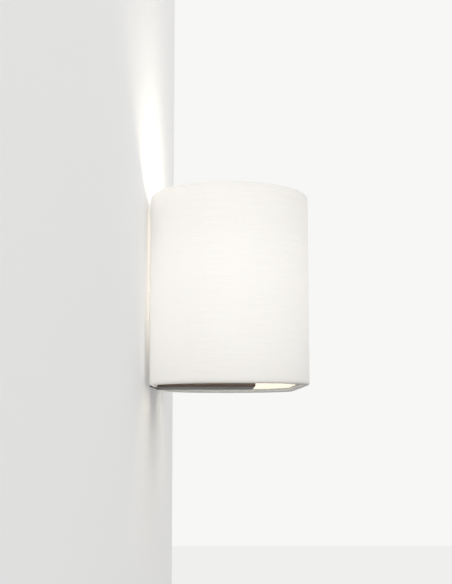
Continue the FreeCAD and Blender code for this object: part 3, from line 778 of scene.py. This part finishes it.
def cutOpening(bm, wide, low, high):
    # the wall box behind the plate, so that the plate's back is lit when it is looked at from behind
    for place, normal in (((-wide, 0, 0), (1, 0, 0)), ((wide, 0, 0), (1, 0, 0)),
                          ((0, 0, low), (0, 0, 1)), ((0, 0, high), (0, 0, 1))):
        bmesh.ops.bisect_plane(bm, geom=bm.verts[:] + bm.edges[:] + bm.faces[:], dist=cutWithin,
                               plane_co=place, plane_no=normal)
    middles = [(f, f.calc_center_median()) for f in bm.faces]
    gone = [f for f, middle in middles if abs(middle.x) < wide and low < middle.z < high]
    bmesh.ops.delete(bm, geom=gone, context="FACES")


def stagePlane(name, corners, colour, seenLift, opening=None):
    # seenLift is how far the camera sees it paler than its light makes it
    bm = bmesh.new()
    bm.faces.new([bm.verts.new(corner) for corner in corners])
    if opening:
        cutOpening(bm, *opening)
    mesh = bpy.data.meshes.new(name)
    bm.to_mesh(mesh)
    bm.free()
    plane = bpy.data.objects.new(name, mesh)
    bpy.context.scene.collection.objects.link(plane)
    finish = Finish(name)
    cloud = finish.noise(finish.place(), *room["cloud"])
    near = rgb(*colour)
    tone = finish.blend(cloud, near, tuple(c * room["cloudShade"] for c in near[:3]) + (1.0,))
    surface = finish.add("ShaderNodeBsdfPrincipled", None,
                         {"Base Color": tone, "Roughness": room["roughness"]})
    seen = finish.add("ShaderNodeLightPath", output="Is Camera Ray")
    paler = finish.add("ShaderNodeEmission", None, {"Color": rgb(*paper), "Strength": 1.0})
    surface = finish.add("ShaderNodeMixShader", None, [seen * seenLift, surface, paler])
    # seen only from the room's side and without a shadow, so that the back of the light can be looked at too
    behind = finish.add("ShaderNodeNewGeometry", output="Backfacing")
    shadow = finish.add("ShaderNodeLightPath", output="Is Shadow Ray")
    hidden = finish.add("ShaderNodeMath", {"operation": "MAXIMUM"}, [behind, shadow])
    clear = finish.add("ShaderNodeBsdfTransparent")
    finish.show(finish.add("ShaderNodeMixShader", None, [hidden, surface, clear]))
    mesh.materials.append(finish.material)


wallCorners = [(x, room["wallY"], room["floorZ"]) for x in room["wallEnds"]]
wallCorners += [(x, room["wallY"], room["tallest"]) for x in reversed(room["wallEnds"])]
stagePlane("roomWall", wallCorners, room["wall"], room["wallLift"], room["opening"])
floorCorners = [(x * room["floorHalf"], y * room["floorHalf"], room["floorZ"])
                for x, y in ((-1, -1), (1, -1), (1, 1), (-1, 1))]
stagePlane("roomFloor", floorCorners, room["floor"], room["floorLift"])

air = {"colour": (1.0, 0.997, 0.992, 1), "strength": 0.82}


def makeAir():
    # even light from all round, with the plain tone where the camera, metal and glass look past the light
    world = bpy.data.worlds.new("studio")
    bpy.context.scene.world = world
    world.use_nodes = True
    finish = Finish.__new__(Finish)            # the world has a tree of its own, and no material
    finish.tree = world.node_tree
    finish.tree.nodes.clear()
    camera, glossy, through = [finish.add("ShaderNodeLightPath", output=f"Is {kind} Ray")
                               for kind in ("Camera", "Glossy", "Transmission")]
    even = finish.add("ShaderNodeBackground", None, {"Color": air["colour"], "Strength": air["strength"]})
    seen = finish.add("ShaderNodeBackground", None, {"Color": rgb(*paper), "Strength": 1.0})
    both = finish.add("ShaderNodeMixShader", None, [camera + glossy + through, even, seen])
    finish.show(both, "ShaderNodeOutputWorld")


makeAir()
studio = [
    {"name": "keySoft", "at": (-2.6, -0.45, 0.8), "size": 1.8, "power": 26.0},
    {"name": "fillSoft", "at": (1.0, -2.1, 0.5), "size": 1.8, "power": 6.0},
    {"name": "backSoft", "at": (0.4, 2.0, 1.0), "size": 1.6, "power": 2.0},
]
aimZ = 0.02


def addLight(name, kind, power, place):
    light = bpy.data.lights.new(name, kind)
    light.energy = power
    source = bpy.data.objects.new(name, light)
    source.location = place
    bpy.context.scene.collection.objects.link(source)
    return light, source


for lamp in studio:
    light, source = addLight(lamp["name"], "AREA", lamp["power"], lamp["at"])
    light.size = lamp["size"]
    aim = Vector((0, shade["centreY"], aimZ)) - Vector(lamp["at"])
    source.rotation_euler = aim.to_track_quat("-Z", "Y").to_euler()

for side in ("left", "right"):
    place = (lamps[side], shade["centreY"], lamps["globeZ"])
    light, source = addLight("lampLight_" + side, "POINT", lamps["power"], place)
    light.shadow_soft_size = lamps["glowRadius"]
    light.color = lamps["colour"]
    # the opal globe lets out the light of the lamp inside it
    frame["nodes"]["lamp_globe_" + side].visible_shadow = False

view = {
    "focal": 998.0, "picture": 584,            # in the photograph's pixels
    "pitch": 0.1246, "roll": -0.0013, "back": 1.051, "below": 0.0325, "toWall": 0.0033,
    "sensor": 36.0, "farthest": 50,
}


def makeCamera():
    # stands at the left, looking along the wall and slightly up
    data = bpy.data.cameras.new("photoView")
    data.sensor_width = view["sensor"]
    data.lens = view["focal"] / view["picture"] * data.sensor_width
    data.clip_end = view["farthest"]
    camera = bpy.data.objects.new("photoView", data)
    bpy.context.scene.collection.objects.link(camera)
    place = Vector((-shade["half"] - view["back"], shade["centreY"] + view["toWall"],
                    shade["rimZ"] - view["below"]))
    ahead = Vector((math.cos(view["pitch"]), 0, math.sin(view["pitch"])))
    turn = ahead.to_track_quat("-Z", "Y").to_matrix().to_4x4()
    camera.matrix_world = Matrix.Translation(place) @ turn @ Matrix.Rotation(view["roll"], 4, "Z")
    bpy.context.scene.camera = camera


makeCamera()
bpy.context.scene.view_settings.view_transform = "Standard"
